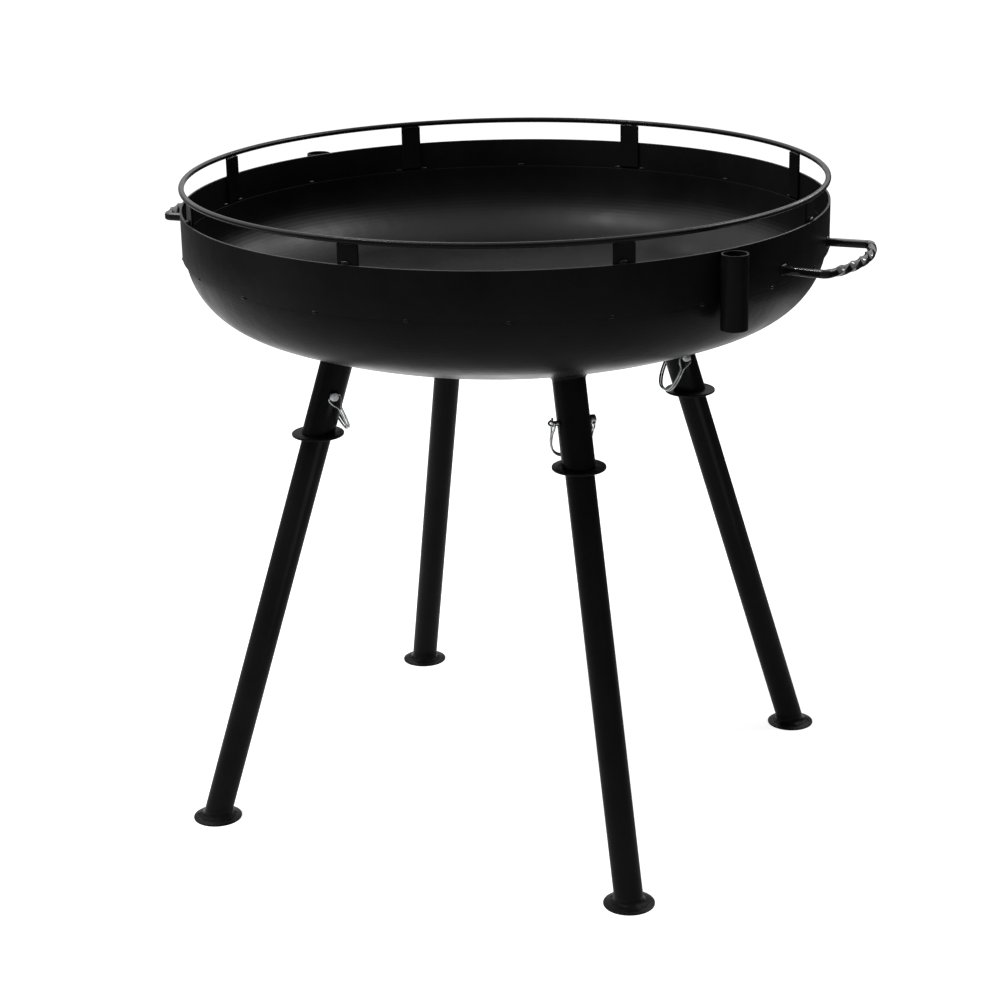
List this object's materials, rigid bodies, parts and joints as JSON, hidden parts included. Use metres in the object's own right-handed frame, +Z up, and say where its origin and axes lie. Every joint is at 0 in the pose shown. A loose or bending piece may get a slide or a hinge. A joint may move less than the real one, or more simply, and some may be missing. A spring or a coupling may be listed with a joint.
{
  "type": "fire pit grill",
  "caption": "Round dished steel fire pit with a guard rail, twisted bar handles, pole holders and splayed legs held in sockets by wire lock pins.",
  "frame": {"origin": "on the ground under the middle of the bowl", "axes": "+Z up, +X and -X towards the two handles, the front pole holder between +X and -Y"},
  "size_m": [0.893, 0.761, 0.7682],
  "materials": {
    "black_coating": "satin black heat-resistant coating",
    "zinc_plate": "bright zinc plate"
  },
  "bodies": {
    "fire_pit_frame": {"bowl_dish": "black_coating", "rim_band": "black_coating", "guard_rail": "black_coating", "rail_post_1": "black_coating", "rail_post_2": "black_coating", "rail_post_3": "black_coating", "rail_post_4": "black_coating", "rail_post_5": "black_coating", "rail_post_6": "black_coating", "rail_post_7": "black_coating", "rail_post_8": "black_coating", "handle_right": "black_coating", "handle_left": "black_coating", "pole_holder_front": "black_coating", "pole_holder_rear": "black_coating", "pole_stop_front": "black_coating", "pole_stop_rear": "black_coating", "leg_socket_front_right": "black_coating", "leg_tube_front_right": "black_coating", "leg_collar_front_right": "black_coating", "foot_disc_front_right": "black_coating", "leg_socket_rear_right": "black_coating", "leg_tube_rear_right": "black_coating", "leg_collar_rear_right": "black_coating", "foot_disc_rear_right": "black_coating", "leg_socket_rear_left": "black_coating", "leg_tube_rear_left": "black_coating", "leg_collar_rear_left": "black_coating", "foot_disc_rear_left": "black_coating", "leg_socket_front_left": "black_coating", "leg_tube_front_left": "black_coating", "leg_collar_front_left": "black_coating", "foot_disc_front_left": "black_coating"},
    "lock_pin_front_right": {"lock_pin_front_right": "zinc_plate"},
    "pin_bail_front_right": {"pin_bail_front_right": "zinc_plate"},
    "lock_pin_rear_right": {"lock_pin_rear_right": "zinc_plate"},
    "pin_bail_rear_right": {"pin_bail_rear_right": "zinc_plate"},
    "lock_pin_rear_left": {"lock_pin_rear_left": "zinc_plate"},
    "pin_bail_rear_left": {"pin_bail_rear_left": "zinc_plate"},
    "lock_pin_front_left": {"lock_pin_front_left": "zinc_plate"},
    "pin_bail_front_left": {"pin_bail_front_left": "zinc_plate"}
  },
  "joints": [
    {"name": "pin_turn_front_right", "type": "hinge", "parent": "fire_pit_frame", "child": "lock_pin_front_right", "pos_m": [0.15826, -0.15826, 0.52471], "axis": [0.7071, 0.7071, 0], "range_deg": [0, 110]},
    {"name": "bail_swing_front_right", "type": "hinge", "parent": "lock_pin_front_right", "child": "pin_bail_front_right", "pos_m": [0.17424, -0.14228, 0.52471], "axis": [0.6509, -0.6509, -0.3907], "range_deg": [0, 110]},
    {"name": "pin_turn_rear_right", "type": "hinge", "parent": "fire_pit_frame", "child": "lock_pin_rear_right", "pos_m": [0.15826, 0.15826, 0.52471], "axis": [-0.7071, 0.7071, 0], "range_deg": [0, 110]},
    {"name": "bail_swing_rear_right", "type": "hinge", "parent": "lock_pin_rear_right", "child": "pin_bail_rear_right", "pos_m": [0.17424, 0.14228, 0.52471], "axis": [-0.6509, -0.6509, 0.3907], "range_deg": [0, 110]},
    {"name": "pin_turn_rear_left", "type": "hinge", "parent": "fire_pit_frame", "child": "lock_pin_rear_left", "pos_m": [-0.15826, 0.15826, 0.52471], "axis": [-0.7071, -0.7071, 0], "range_deg": [0, 110]},
    {"name": "bail_swing_rear_left", "type": "hinge", "parent": "lock_pin_rear_left", "child": "pin_bail_rear_left", "pos_m": [-0.14228, 0.17424, 0.52471], "axis": [0.6509, -0.6509, 0.3907], "range_deg": [0, 110]},
    {"name": "pin_turn_front_left", "type": "hinge", "parent": "fire_pit_frame", "child": "lock_pin_front_left", "pos_m": [-0.15826, -0.15826, 0.52471], "axis": [0.7071, -0.7071, 0], "range_deg": [0, 110]},
    {"name": "bail_swing_front_left", "type": "hinge", "parent": "lock_pin_front_left", "child": "pin_bail_front_left", "pos_m": [-0.14228, -0.17424, 0.52471], "axis": [-0.6509, -0.6509, -0.3907], "range_deg": [0, 110]}
  ]
}
